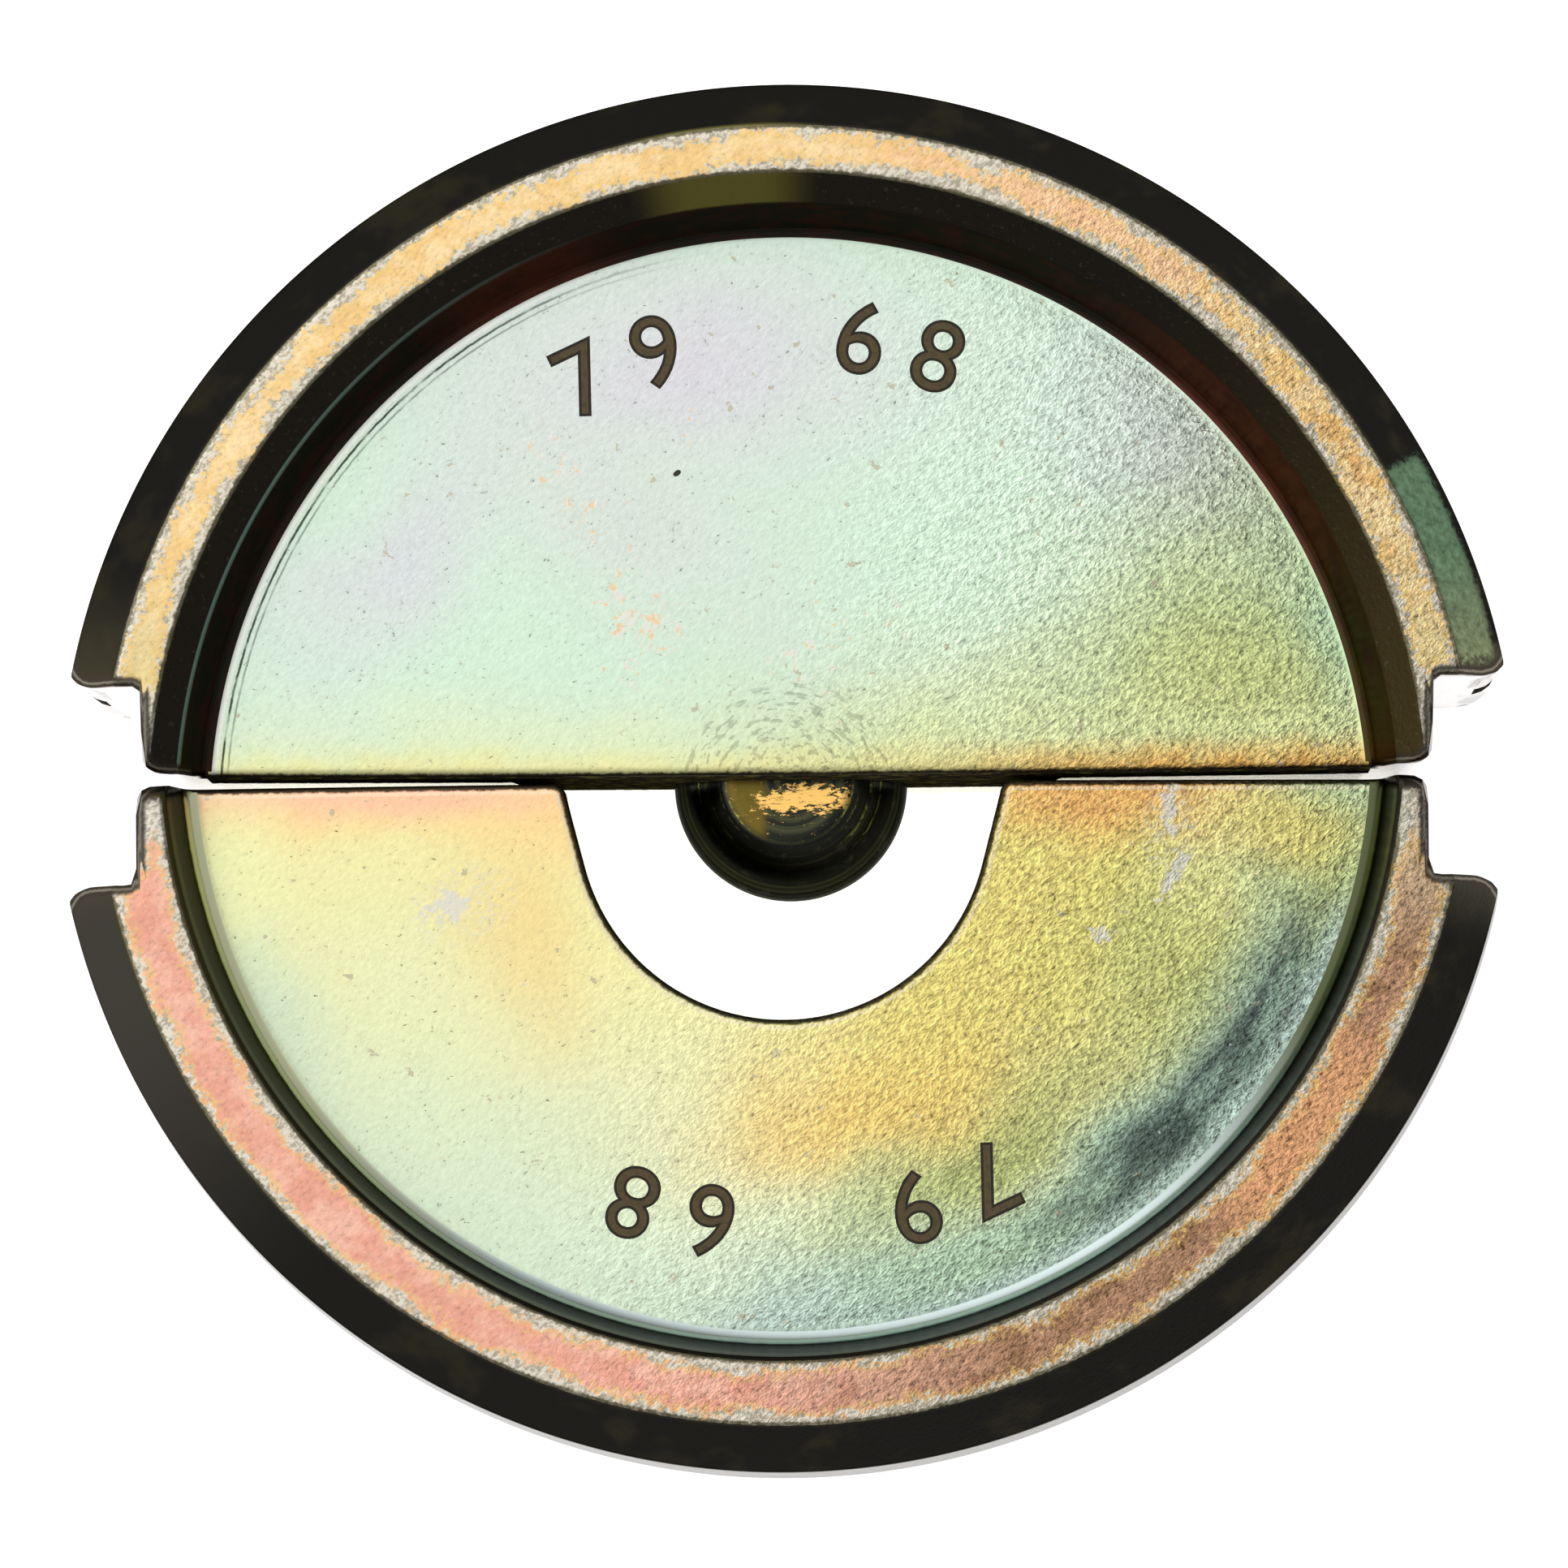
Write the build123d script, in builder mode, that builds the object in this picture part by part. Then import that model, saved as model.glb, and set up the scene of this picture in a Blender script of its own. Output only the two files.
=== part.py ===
"""A matched pair of crimping die halves, lying face up and parting face to parting face.

The indenter half carries a ball nose, and the cradle half has the trough that holds the terminal.
Each half is a D-shaped rim round a thinner web. +Z is the way the front faces look, +X runs along
the parting line, and +Y points from the cradle to the indenter. The origin is on the table, under
the middle of the parting line.
"""
import os
from math import cos, radians, sin, sqrt, tan

from build123d import *

# Rim: the round back that seats in the press, the same on both halves
seat_radius = 19.0
seat_centre_drop = 1.0
rim_thickness = 14.0
seat_flat = 1.2
seat_draft = 0.15
seat_chamfer_width = 1.25
seat_chamfer_depth = 1.4
groove_width = 2.2
groove_depth = 0.8

# Notches at the ends of the rim
notch_inset = 2.4
notch_root_radius = 0.25
indenter_notch_height = 2.3
cradle_notch_height = 2.65
shoulder_overhang = 0.05
shoulder_corner_radius = 0.75
rim_end_corner_radius = 0.5
rim_end_round = 0.55

# Recess on both faces: a land round it, a sloped mouth, then a steep wall down to the web
recess_depth = 2.5
recess_root_radius = 0.3
indenter_land_width = 1.12
indenter_mouth_width = 0.78
indenter_mouth_depth = 0.7
indenter_wall_run = 0.55
cradle_land_width = 1.55
cradle_mouth_width = 0.16
cradle_mouth_depth = 0.15
cradle_wall_run = 0.39

# Parting faces: slightly crowned, a hair apart in the middle and more at the ends
parting_gap = 0.15
parting_crown = 0.08
lateral_slip = 0.14
web_edge_break = 0.2

# Indenter nose: a ball with a turned flat on each side
nose_radius = 3.05
nose_flat_height = 2.55

# Trough: an arc with flared sides
trough_radius = 5.3
trough_centre_depth = 0.85
trough_flare = 14.5
trough_lip_radius = 0.35

mid_height = rim_thickness / 2
web_thickness = rim_thickness - 2 * recess_depth
outline_radius = seat_radius + shoulder_overhang
notch_x = seat_radius - notch_inset
wall_radius = seat_radius - seat_draft
land_outer = wall_radius - seat_chamfer_width
indenter_land_inner = land_outer - indenter_land_width
indenter_mouth_inner = indenter_land_inner - indenter_mouth_width
cradle_land_inner = land_outer - cradle_land_width
cradle_mouth_inner = cradle_land_inner - cradle_mouth_width


def mirrored(point):
    """The same point on the other side of the middle of a half."""
    return (-point[0], point[1])


def half_plane(side, height=0):
    """Plane of one half, with its origin on the parting face and its y axis into the metal.

    side is 1 for the half at +Y and -1 for the half at -Y.
    """
    origin = (side * lateral_slip / 2, side * parting_gap / 2, height)
    return Plane(origin, x_dir=(side, 0, 0), z_dir=(0, 0, 1))


def outline_sketch(notch_height):
    """Outline of a half from the front: crowned parting face, notches, shoulders and seat."""
    rim_end = (notch_x, parting_crown)
    notch_root = (notch_x, notch_height)
    shoulder = (sqrt(outline_radius**2 - (notch_height + seat_centre_drop) ** 2), notch_height)
    with BuildSketch() as outline:
        with BuildLine():
            ThreePointArc(mirrored(rim_end), (0, 0), rim_end)
            Polyline(rim_end, notch_root, shoulder)
            ThreePointArc(shoulder, (0, outline_radius - seat_centre_drop), mirrored(shoulder))
            Polyline(mirrored(shoulder), mirrored(notch_root), mirrored(rim_end))
        make_face()
        for corner, radius in (
            (rim_end, rim_end_corner_radius),
            (notch_root, notch_root_radius),
            (shoulder, shoulder_corner_radius),
        ):
            for point in (corner, mirrored(corner)):
                fillet(outline.vertices().sort_by_distance((*point, 0))[0], radius=radius)
    return outline.sketch


def rim(side, land_inner, mouth_inner, mouth_depth, wall_run, notch_height):
    """Rim of one half: a turned ring with its groove, trimmed to the half's outline."""
    seat_centre = half_plane(side, mid_height).from_local_coords((0, -seat_centre_drop, 0))
    recess_floor = mid_height - recess_depth
    web_corner = (mouth_inner - wall_run, recess_floor)
    chamfer_corner = (wall_radius, mid_height - seat_chamfer_depth)
    bore = web_corner[0] - 2 * recess_root_radius
    end_y = side * (parting_gap / 2 + parting_crown)

    with BuildPart() as ring:
        with BuildSketch(half_plane(side)):
            add(outline_sketch(notch_height))
        extrude(amount=rim_thickness)

        with BuildSketch(Plane(seat_centre, x_dir=(1, 0, 0), z_dir=(0, -1, 0))) as section:
            with BuildLine():
                Polyline(
                    (bore, 0),
                    (bore, recess_floor),
                    web_corner,
                    (mouth_inner, mid_height - mouth_depth),
                    (land_inner, mid_height),
                    (land_outer, mid_height),
                    chamfer_corner,
                    (seat_radius, groove_width / 2 + seat_flat),
                    (seat_radius, groove_width / 2),
                    (seat_radius - groove_depth, groove_width / 2),
                    (seat_radius - groove_depth, 0),
                    close=True,
                )
            make_face()
            fillet(section.vertices().sort_by_distance((*web_corner, 0))[0], radius=recess_root_radius)
            mirror(about=Plane.XZ)
        revolve(axis=Axis(seat_centre, (0, 0, 1)), mode=Mode.INTERSECT)

        # Rounded over ends, front and rear
        with BuildSketch(Plane.YZ):
            for face, inward in ((0, 1), (rim_thickness, -1)):
                with Locations((end_y, face)):
                    Rectangle(2 * rim_end_round, 2 * rim_end_round)
                with Locations((end_y + side * rim_end_round, face + inward * rim_end_round)):
                    Circle(rim_end_round, mode=Mode.SUBTRACT)
        extrude(amount=seat_radius, both=True, mode=Mode.SUBTRACT)
    return ring.part


def web_sketch(reach, notch_height):
    """Web of a half from the front, out to a radius that the rim covers."""
    with BuildSketch() as web:
        add(outline_sketch(notch_height))
        with Locations((0, -seat_centre_drop)):
            Circle(reach, mode=Mode.INTERSECT)
    return web.sketch


with BuildPart() as indenter_web:
    with BuildSketch(half_plane(1, recess_depth)):
        add(web_sketch(indenter_mouth_inner, indenter_notch_height))
    extrude(amount=web_thickness)
    chamfer(indenter_web.faces().filter_by(Axis.Z).edges(), length=web_edge_break)

with BuildPart() as indenter_nose:
    nose_centre = half_plane(1, mid_height).origin
    nose_flat_radius = sqrt(nose_radius**2 - nose_flat_height**2)
    with BuildSketch(Plane(nose_centre, x_dir=(1, 0, 0), z_dir=(0, -1, 0))):
        with BuildLine():
            Polyline(
                (nose_flat_radius, -nose_flat_height),
                (0, -nose_flat_height),
                (0, nose_flat_height),
                (nose_flat_radius, nose_flat_height),
            )
            ThreePointArc(
                (nose_flat_radius, nose_flat_height),
                (nose_radius, 0),
                (nose_flat_radius, -nose_flat_height),
            )
        make_face()
    revolve(axis=Axis(nose_centre, (0, 0, 1)))

with BuildPart() as indenter_die:
    add(
        rim(
            1,
            indenter_land_inner,
            indenter_mouth_inner,
            indenter_mouth_depth,
            indenter_wall_run,
            indenter_notch_height,
        )
    )
    add(indenter_web.part)
    add(indenter_nose.part)

with BuildPart() as cradle_web:
    flare = radians(trough_flare)
    trough_bottom = (0, trough_centre_depth + trough_radius)
    tangent_point = (trough_radius * cos(flare), trough_centre_depth + trough_radius * sin(flare))
    lip = (tangent_point[0] + tangent_point[1] * tan(flare), 0)
    mouth_point = (lip[0] + tangent_point[1] * tan(flare), -tangent_point[1])
    with BuildSketch(half_plane(-1, recess_depth)) as web_outline:
        add(web_sketch(cradle_mouth_inner, cradle_notch_height))
        with BuildLine():
            Polyline(tangent_point, mouth_point, mirrored(mouth_point), mirrored(tangent_point))
            ThreePointArc(mirrored(tangent_point), trough_bottom, tangent_point)
        make_face(mode=Mode.SUBTRACT)
        for point in (lip, mirrored(lip)):
            fillet(web_outline.vertices().sort_by_distance((*point, 0))[0], radius=trough_lip_radius)
    extrude(amount=web_thickness)
    chamfer(cradle_web.faces().filter_by(Axis.Z).edges(), length=web_edge_break)

with BuildPart() as cradle_die:
    add(
        rim(
            -1,
            cradle_land_inner,
            cradle_mouth_inner,
            cradle_mouth_depth,
            cradle_wall_run,
            cradle_notch_height,
        )
    )
    add(cradle_web.part)

indenter_die.part.label = "indenter_die"
cradle_die.part.label = "cradle_die"

os.makedirs("parts", exist_ok=True)
export_step(indenter_die.part, "parts/indenter_die.step")
export_step(cradle_die.part, "parts/cradle_die.step")
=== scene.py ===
"""Looks of the crimping die pair: worn yellow plated steel, face up on a pale table.

The two halves of the frame are replaced by finer meshes of the same form. Sizes are in
millimetres, and become metres when a mesh is made. Each half has axes of its own: u runs along
the parting line, v into the metal, and w up from mid thickness.
"""
import copy
import math

import bmesh
import bpy
import numpy as np
from mathutils import Matrix, Vector
from mathutils.geometry import delaunay_2d_cdt


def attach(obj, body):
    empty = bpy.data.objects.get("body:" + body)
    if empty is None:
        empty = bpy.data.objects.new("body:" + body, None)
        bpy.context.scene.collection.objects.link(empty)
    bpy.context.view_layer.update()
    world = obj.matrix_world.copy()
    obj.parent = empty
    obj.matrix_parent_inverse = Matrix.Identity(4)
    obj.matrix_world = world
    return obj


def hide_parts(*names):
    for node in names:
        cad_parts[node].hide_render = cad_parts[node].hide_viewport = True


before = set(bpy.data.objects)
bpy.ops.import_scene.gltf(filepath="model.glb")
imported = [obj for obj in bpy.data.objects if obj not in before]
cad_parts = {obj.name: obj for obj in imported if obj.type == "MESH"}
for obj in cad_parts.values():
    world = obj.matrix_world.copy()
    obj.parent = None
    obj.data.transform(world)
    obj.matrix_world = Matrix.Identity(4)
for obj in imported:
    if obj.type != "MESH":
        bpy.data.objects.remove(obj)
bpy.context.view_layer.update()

MM = 0.001

# Sizes both halves share
HALF_RIM = 7.0
MID = HALF_RIM
HALF_WEB = 4.5
SEAT_R = 19.0
SEAT_DROP = 1.0
SEAT_TOP = 2.3
SEAT_ROUND = 0.6
GROOVE_R = 18.2
GROOVE_HALF = 1.1
GROOVE_ROUND = 0.06
WALL_R = 18.85
CHAMFER_DEPTH = 1.4
CHAMFER_ROUND = 0.3
LAND_OUTER = 17.6
LAND_ROUND = 0.16
MOUTH_ROUND = 0.12
NOTCH_X = 16.6
NOTCH_ROOT = 0.25
NOTCH_ROUND = 0.18
SHOULDER_CORNER = 0.75
SHOULDER_OVERHANG = 0.05
RIM_END_CORNER = 0.5
RIM_END_ROUND = 0.55
CROWN = 0.08
GAP = 0.15
SLIP = 0.14

# Sizes of each half
INDENTER = {
    "node": "indenter_die",
    "side": 1,
    "land_inner": 16.48,
    "mouth_inner": 15.7,
    "mouth_depth": 0.7,
    "floor_r": 15.15,
    "notch_height": 2.3,
    "edge_round": 0.25,
    "root_round": 0.35,
}
CRADLE = {
    "node": "cradle_die",
    "side": -1,
    "land_inner": 16.05,
    "mouth_inner": 15.89,
    "mouth_depth": 0.15,
    "floor_r": 15.5,
    "notch_height": 2.65,
    "edge_round": 0.2,
    "root_round": 0.5,
}
TROUGH_R = 5.3
TROUGH_CENTRE = 0.85
TROUGH_FLARE = math.radians(14.5)
LIP_ROUND = 0.35
NOSE_R = 3.05
NOSE_FLAT = 2.55

# Fineness of the meshes
ARC_STEP = 0.45
SECTION_STEP = 0.24
OUTLINE_STEP = 0.2
PARTING_STEP = 0.4
ROUND_STEPS = 5
RIM_END_STEPS = 8
NOTCH_ROOT_STEPS = 6
SHOULDER_STEPS = 10
LIP_STEPS = 8
TROUGH_STEPS = 40
WALL_LEVELS = 13
NOSE_FLAT_STEPS = 6
NOSE_BALL_STEPS = 24
NOSE_TURNS = 128
END_LEVELS = 9
GROOVE_END_LEVELS = 5
WELD = 0.002
TOLERANCE = 1e-7
SHARP_ANGLE = math.radians(35)

# Columns of the rim lie closer together at its ends, at these distances from them
END_COLUMNS = (0, 0.02, 0.045, 0.08, 0.12, 0.17, 0.23, 0.3, 0.38, 0.47, 0.56, 0.7, 0.9, 1.2, 1.6)

# The web's mesh begins this far inside the recess wall, and has rows beyond its rounded edge
WEB_LAP = 0.6
WEB_ROWS = (0.32, 0.42)
ROW_CLEARANCE = 0.12

# Plain numbers on the webs, each with the angle of its place on the arc
MARKS = ((-25, "7"), (-15.5, "9"), (9, "6"), (18.5, "8"))
MARK_BASE_R = 11.6
MARK_SIZE = 2.65
MARK_HALF_DEPTH = 0.01
MARK_CURVE_STEPS = 8
MARK_WELD = 0.0005
MARK_SWELL = 0.035
MARK_BORDER_TOP = 0.004
MARK_MIDDLE_TOP = 0.008

# Camera, almost straight above, a little towards the viewer and the right
AIM = Vector((0.0, -0.28, 14)) * MM
TOWARDS = Vector((5.0, -17.5, 311)) * MM
ROLL = math.radians(0.45)
FOCAL_PER_WIDTH = 7.742
SENSOR_WIDTH = 36

# Soft light from all round, brightest from the upper left
BRIGHTEST_FROM = Vector((-0.6, 0.35, 0.72))
DIMMEST_LIGHT = 0.42
BRIGHTEST_LIGHT = 1.5
TABLE_SIZE = 2
TABLE_SHADE = 0.9
TABLE_GLOW = 0.95


def arc(centre, radius, start, end, steps):
    """Points on an arc, angles in radians."""
    angles = np.linspace(start, end, steps + 1)
    return [(centre[0] + radius * math.cos(a), centre[1] + radius * math.sin(a)) for a in angles]


def rounded(points, radii, steps=ROUND_STEPS):
    """An open line through the points, with each inner corner rounded by its radius."""
    line = [points[0]]
    for before, corner, after, radius in zip(points, points[1:-1], points[2:], radii):
        a = np.subtract(before, corner)
        b = np.subtract(after, corner)
        a = a / np.linalg.norm(a)
        b = b / np.linalg.norm(b)
        half_angle = math.acos(np.clip(a @ b, -1, 1)) / 2
        setback = radius / math.tan(half_angle)
        centre = np.add(corner, (a + b) / np.linalg.norm(a + b) * radius / math.sin(half_angle))
        start = np.add(corner, a * setback) - centre
        end = np.add(corner, b * setback) - centre
        turn = math.acos(np.clip(start @ end / radius**2, -1, 1))
        sign = math.copysign(1, start[0] * end[1] - start[1] * end[0])
        first = math.atan2(start[1], start[0])
        line += arc(centre, radius, first, first + sign * turn, steps)
    return line + [points[-1]]


def divided(line, step):
    """The same line with no piece longer than the step."""
    result = [tuple(line[0])]
    for a, b in zip(line, line[1:]):
        count = max(1, math.ceil(math.dist(a, b) / step - TOLERANCE))
        for i in range(1, count + 1):
            result.append((a[0] + (b[0] - a[0]) * i / count, a[1] + (b[1] - a[1]) * i / count))
    return result


def distance_to(line, points):
    """Distance of each point to an open line."""
    line = np.asarray(line)
    start = line[:-1]
    step = line[1:] - start
    length2 = np.maximum((step**2).sum(1), TOLERANCE**2)
    best = np.full(len(points), np.inf)
    for k in range(len(start)):
        share = np.clip(((points - start[k]) @ step[k]) / length2[k], 0, 1)
        away = points - start[k] - share[:, None] * step[k]
        best = np.minimum(best, np.hypot(away[:, 0], away[:, 1]))
    return best


def offset_row(line, gap):
    """The open line moved sideways into the metal, which lies on its left."""
    line = np.asarray(line)
    tangent = np.gradient(line, axis=0)
    tangent /= np.linalg.norm(tangent, axis=1)[:, None]
    return line + gap * np.column_stack([-tangent[:, 1], tangent[:, 0]])


def round_drop(distance, radius):
    """How far a rounded edge lies below its flat face at a distance from the edge."""
    inside = np.clip(radius - distance, 0, radius)
    return radius - np.sqrt(radius**2 - inside**2)


def crown(u):
    """Height of the crowned parting face at a distance u from the middle of a half."""
    return CROWN * (u / NOTCH_X) ** 2


def crowned(places):
    """Points of the parting face at these distances from the middle of a half."""
    return [(u, crown(u)) for u in places]


def end_outline(half):
    """Right end of a half's outline, from the middle of the parting face to the seat.

    Returns its points, and their radii and angles about the seat's centre.
    """
    notch_height = half["notch_height"]
    parting = crowned(np.arange(0, NOTCH_X - RIM_END_CORNER, PARTING_STEP))
    end_centre = (NOTCH_X - RIM_END_CORNER, crown(NOTCH_X - RIM_END_CORNER) + RIM_END_CORNER)
    end_corner = arc(end_centre, RIM_END_CORNER, -math.pi / 2, 0, RIM_END_STEPS)
    root_centre = (NOTCH_X + NOTCH_ROOT, notch_height - NOTCH_ROOT)
    root = arc(root_centre, NOTCH_ROOT, math.pi, math.pi / 2, NOTCH_ROOT_STEPS)
    corner_y = notch_height + SHOULDER_CORNER
    centre_r = SEAT_R + SHOULDER_OVERHANG - SHOULDER_CORNER
    corner_x = math.sqrt(centre_r**2 - (corner_y + SEAT_DROP) ** 2)
    last = math.atan2(corner_y + SEAT_DROP, corner_x)
    shoulder = arc((corner_x, corner_y), SHOULDER_CORNER, -math.pi / 2, last, SHOULDER_STEPS)
    line = np.array(divided(parting + end_corner + root + shoulder, OUTLINE_STEP))
    radius = np.hypot(line[:, 0], line[:, 1] + SEAT_DROP)
    angle = np.arctan2(line[:, 1] + SEAT_DROP, line[:, 0])
    return line, radius, angle


def rim_section(half):
    """Section of the rim's front half, from the web over the land to mid thickness."""
    corners = [
        (half["floor_r"] - WEB_LAP, HALF_WEB),
        (half["floor_r"], HALF_WEB),
        (half["mouth_inner"], HALF_RIM - half["mouth_depth"]),
        (half["land_inner"], HALF_RIM),
        (LAND_OUTER, HALF_RIM),
        (WALL_R, HALF_RIM - CHAMFER_DEPTH),
        (SEAT_R, SEAT_TOP),
        (SEAT_R, GROOVE_HALF),
        (GROOVE_R, GROOVE_HALF),
        (GROOVE_R, 0),
    ]
    mouth_round = min(MOUTH_ROUND, half["mouth_depth"] / 2)
    radii = [
        half["root_round"],
        mouth_round,
        mouth_round,
        LAND_ROUND,
        CHAMFER_ROUND,
        SEAT_ROUND,
        GROOVE_ROUND,
        GROOVE_ROUND,
    ]
    return divided(rounded(corners, radii), SECTION_STEP)


def web_edge(half):
    """Front edge of the web in plan, from left to right: parting face, and the cradle's trough."""
    web_r = half["floor_r"] - WEB_LAP
    end = math.sqrt(web_r**2 - SEAT_DROP**2)
    end = math.sqrt(web_r**2 - (SEAT_DROP + crown(end)) ** 2)
    if half["side"] > 0:
        even = 14
        middle = np.linspace(-even, even, round(2 * even / PARTING_STEP) + 1)
        return divided(crowned([-end, *middle, end]), ARC_STEP)
    tangent = (
        TROUGH_R * math.cos(TROUGH_FLARE),
        TROUGH_CENTRE + TROUGH_R * math.sin(TROUGH_FLARE),
    )
    lip_x = tangent[0] + tangent[1] * math.tan(TROUGH_FLARE)
    past_lip = 7.0
    trough = arc((0, TROUGH_CENTRE), TROUGH_R, math.pi / 2, TROUGH_FLARE, TROUGH_STEPS)
    turned = rounded([tangent, *crowned([lip_x, past_lip])], [LIP_ROUND], LIP_STEPS)
    right = crowned([*np.arange(past_lip, end - PARTING_STEP / 2, PARTING_STEP), end])
    half_line = trough[:-1] + turned[:-1] + right
    left = [(-u, v) for u, v in reversed(half_line[1:])]
    return divided(left + half_line, ARC_STEP)


def fill(loop, rows):
    """Points and triangles over a closed 2D loop, with inner rows of points kept as edges."""
    points = [Vector(p) for p in loop]
    edges = [(i, (i + 1) % len(loop)) for i in range(len(loop))]
    for row in rows:
        start = len(points)
        points += [Vector(p) for p in row]
        edges += [(start + i, start + i + 1) for i in range(len(row) - 1)]
    bounds = [list(range(len(loop)))]
    inside_only = 1
    out, _, faces, *_ = delaunay_2d_cdt(points, edges, bounds, inside_only, TOLERANCE)
    return [tuple(p) for p in out], faces


def in_metres(place, side):
    """A place in a half's own axes, in the frame's axes and metres."""
    u, v, w = place
    return (side * (SLIP / 2 + u) * MM, side * (GAP / 2 + v) * MM, (MID + w) * MM)


class Soup:
    """Vertices and faces gathered piece by piece, in one half's own axes."""

    def __init__(self):
        self.vertices = []
        self.faces = []

    def grid(self, rows):
        """Quads between rows of points of equal count."""
        start = len(self.vertices)
        count = len(rows[0])
        for row in rows:
            self.vertices += [tuple(p) for p in row]
        for i in range(len(rows) - 1):
            for j in range(count - 1):
                a = start + i * count + j
                self.faces.append((a, a + 1, a + count + 1, a + count))

    def patch(self, points, faces):
        """Faces that come with points of their own."""
        start = len(self.vertices)
        self.vertices += [tuple(p) for p in points]
        self.faces += [tuple(start + i for i in face) for face in faces]

    def mesh(self, name, side):
        """A closed mesh in metres, placed as the half with that side is."""
        data = bmesh.new()
        made = [data.verts.new(in_metres(place, side)) for place in self.vertices]
        for face in self.faces:
            if len(set(face)) > 2:
                data.faces.new([made[i] for i in face])
        bmesh.ops.remove_doubles(data, verts=data.verts, dist=WELD * MM)
        bmesh.ops.dissolve_degenerate(data, edges=data.edges, dist=WELD / 10 * MM)
        bmesh.ops.recalc_face_normals(data, faces=data.faces)
        mesh = bpy.data.meshes.new(name)
        data.to_mesh(mesh)
        data.free()
        return mesh


def rim_rows(half, outline, outline_r, outline_angle):
    """Rows of points over the rim's front half, each from its right end to its left."""
    edge_round = half["edge_round"]
    fade_height = 0.5
    notch = outline[outline[:, 0] > NOTCH_X - 0.02]
    notch_reach = HALF_RIM - CHAMFER_DEPTH * 0.8
    even = int(math.pi * SEAT_R / ARC_STEP)
    rows = []
    for radius, height in rim_section(half):
        # Columns close together at both ends, even between them
        lead = np.interp(radius, outline_r, outline_angle) + np.array(END_COLUMNS) / radius
        middle = np.linspace(lead[-1], math.pi - lead[-1], even)[1:-1]
        angle = np.concatenate([lead, middle, (math.pi - lead)[::-1]])
        u = radius * np.cos(angle)
        v = radius * np.sin(angle) - SEAT_DROP
        w = np.full(len(u), height)
        if radius < half["mouth_inner"]:
            # The round of the web's edge fades out up the recess wall
            fade = np.clip((HALF_WEB + fade_height - height) / fade_height, 0, 1)
            w -= fade * round_drop(v - crown(u), edge_round)
        if height > GROOVE_HALF:
            # The rim's ends are rounded over
            end_cut = HALF_RIM - round_drop(np.clip(v - CROWN, 0, None), RIM_END_ROUND)
            w = np.where(v < CROWN + RIM_END_ROUND, np.minimum(w, end_cut), w)
        if radius > half["mouth_inner"] and height > notch_reach:
            # The edges of its notches are rounded
            w -= round_drop(distance_to(notch, np.column_stack([np.abs(u), v])), NOTCH_ROUND)
        rows.append(np.column_stack([u, v, w]))
    rows[0][[0, -1], 2] = HALF_WEB - edge_round
    return rows


def end_face(ends, sign, outline, outline_r):
    """Points and triangles of one end of the rim, which is filled unrolled along the outline."""
    run = np.concatenate([[0], np.cumsum(np.hypot(*np.diff(outline, axis=0).T))])
    along = np.interp(np.hypot(ends[:, 0], ends[:, 1] + SEAT_DROP), outline_r, run)
    front = list(zip(along, ends[:, 2]))
    rear = [(a, -w) for a, w in front[:-1]]
    upright = [(along[0], w) for w in np.linspace(-ends[0, 2], ends[0, 2], WALL_LEVELS)[1:-1]]

    # Upright rows keep every fold of the outline crisp, in two parts where the groove runs out
    margin = 0.1
    near_by = 0.25
    at_groove = np.interp(GROOVE_R - margin, outline_r, run)
    rows = []
    for a in run[(run > along[0] + margin) & (run < along[-1] - margin / 2)]:
        near = [w for b, w in front if abs(b - a) < near_by]
        limit = min(near, default=margin) - margin
        if a < at_groove:
            rows.append([(a, w) for w in np.linspace(-limit, limit, END_LEVELS)])
        elif limit > GROOVE_HALF + 2 * margin:
            levels = np.linspace(GROOVE_HALF + margin, limit, GROOVE_END_LEVELS)
            rows += [[(a, w) for w in levels], [(a, -w) for w in levels]]

    points, faces = fill(front + rear[::-1] + upright, rows)
    placed = []
    for a, w in points:
        placed.append((sign * np.interp(a, run, outline[:, 0]), np.interp(a, run, outline[:, 1]), w))
    return placed, faces


def build_half(half):
    """Rim and web of one half as a closed mesh."""
    soup = Soup()
    outline, outline_r, outline_angle = end_outline(half)
    rows = rim_rows(half, outline, outline_r, outline_angle)
    rearward = np.array([1, 1, -1])
    soup.grid(rows)
    soup.grid([row * rearward for row in rows[::-1]])
    for column, sign in ((0, 1), (-1, -1)):
        ends = np.array([row[column] for row in rows])
        ends[:, 0] = np.abs(ends[:, 0])
        soup.patch(*end_face(ends, sign, outline, outline_r))

    # Web: both faces, and the parting face with the trough between them
    edge_round = half["edge_round"]
    rim_row = [tuple(p[:2]) for p in rows[0]]
    edge = [rim_row[-1]] + web_edge(half)[1:-1] + [rim_row[0]]
    turns = [i / ROUND_STEPS * math.pi / 2 for i in range(1, ROUND_STEPS + 1)]
    inner_rows = []
    for gap in [edge_round * (1 - math.cos(turn)) for turn in turns] + list(WEB_ROWS):
        row = offset_row(edge, gap)
        away = np.hypot(row[:, 0], row[:, 1] + SEAT_DROP)
        inner_rows.append([tuple(p) for p in row[away < half["floor_r"] - WEB_LAP - ROW_CLEARANCE]])
    plan, faces = fill(edge + rim_row[1:-1], inner_rows)
    plan = np.array(plan)
    front = np.column_stack([plan, HALF_WEB - round_drop(distance_to(edge, plan), edge_round)])
    soup.patch(front, faces)
    soup.patch(front * rearward, faces)
    top = HALF_WEB - edge_round
    soup.grid([[(u, v, w) for u, v in edge] for w in np.linspace(-top, top, WALL_LEVELS)])
    return soup.mesh(half["node"] + "_body", half["side"])


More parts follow.
